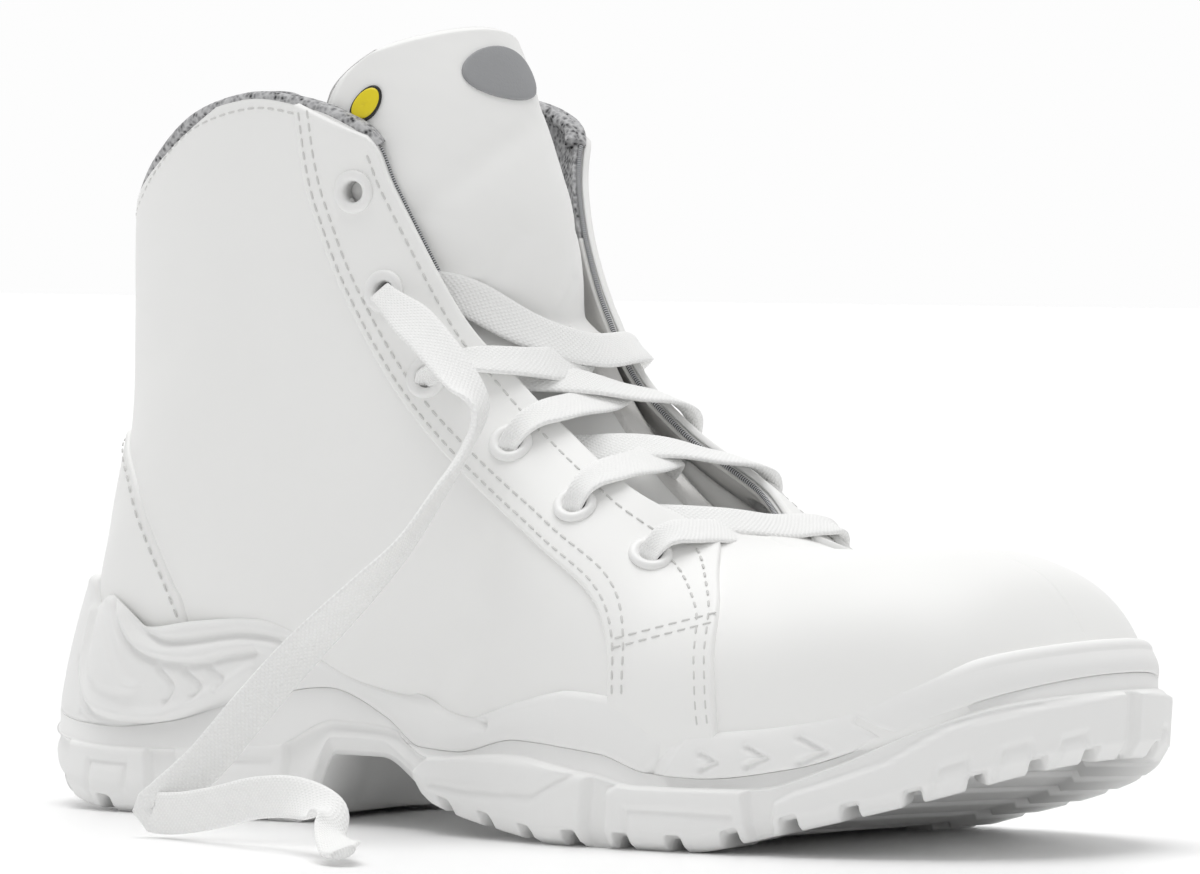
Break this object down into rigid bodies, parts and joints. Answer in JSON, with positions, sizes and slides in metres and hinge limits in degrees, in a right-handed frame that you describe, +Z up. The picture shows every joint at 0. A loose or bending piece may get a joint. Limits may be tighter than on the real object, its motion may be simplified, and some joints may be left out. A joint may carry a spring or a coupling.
{
  "type": "high-top safety shoe",
  "caption": "White high-top lace-up safety shoe for the right foot, with a padded tongue, a cupped heel, a lugged sole and one loose lace end.",
  "frame": {"origin": "on the ground under the middle of the shoe's length and width, measured without the loose lace end", "axes": "+X from the heel towards the toe, +Y towards the medial side, +Z up; the ground is z = 0"},
  "size_m": [0.298, 0.1844, 0.1823],
  "materials": {
    "white_microfibre": "fine-grained white microfibre, matte",
    "white_polyurethane": "moulded white polyurethane, satin",
    "insole_textile": "grey insole cover",
    "white_eyelet": "satin",
    "grey_badge": "matte woven badge, bare",
    "yellow_disc": "matte",
    "white_lace": "flat woven white lace"
  },
  "bodies": {
    "root": {"upper": "white_microfibre", "outsole": "white_polyurethane", "midsole": "white_polyurethane", "insole": "insole_textile", "tongue": "white_microfibre", "eyestay_lateral": "white_microfibre", "eyestay_medial": "white_microfibre", "heel_counter": "white_microfibre", "eyelet_lateral_1": "white_eyelet", "eyelet_lateral_2": "white_eyelet", "eyelet_lateral_3": "white_eyelet", "eyelet_lateral_4": "white_eyelet", "eyelet_lateral_5": "white_eyelet", "eyelet_lateral_6": "white_eyelet", "eyelet_medial_1": "white_eyelet", "eyelet_medial_2": "white_eyelet", "eyelet_medial_3": "white_eyelet", "eyelet_medial_4": "white_eyelet", "eyelet_medial_5": "white_eyelet", "eyelet_medial_6": "white_eyelet", "tongue_badge": "grey_badge", "tongue_disc": "yellow_disc", "lace_crossing_1": "white_lace", "lace_crossing_2": "white_lace", "lace_crossing_3": "white_lace", "lace_crossing_4": "white_lace", "lace_end": "white_lace"}
  },
  "joints": []
}
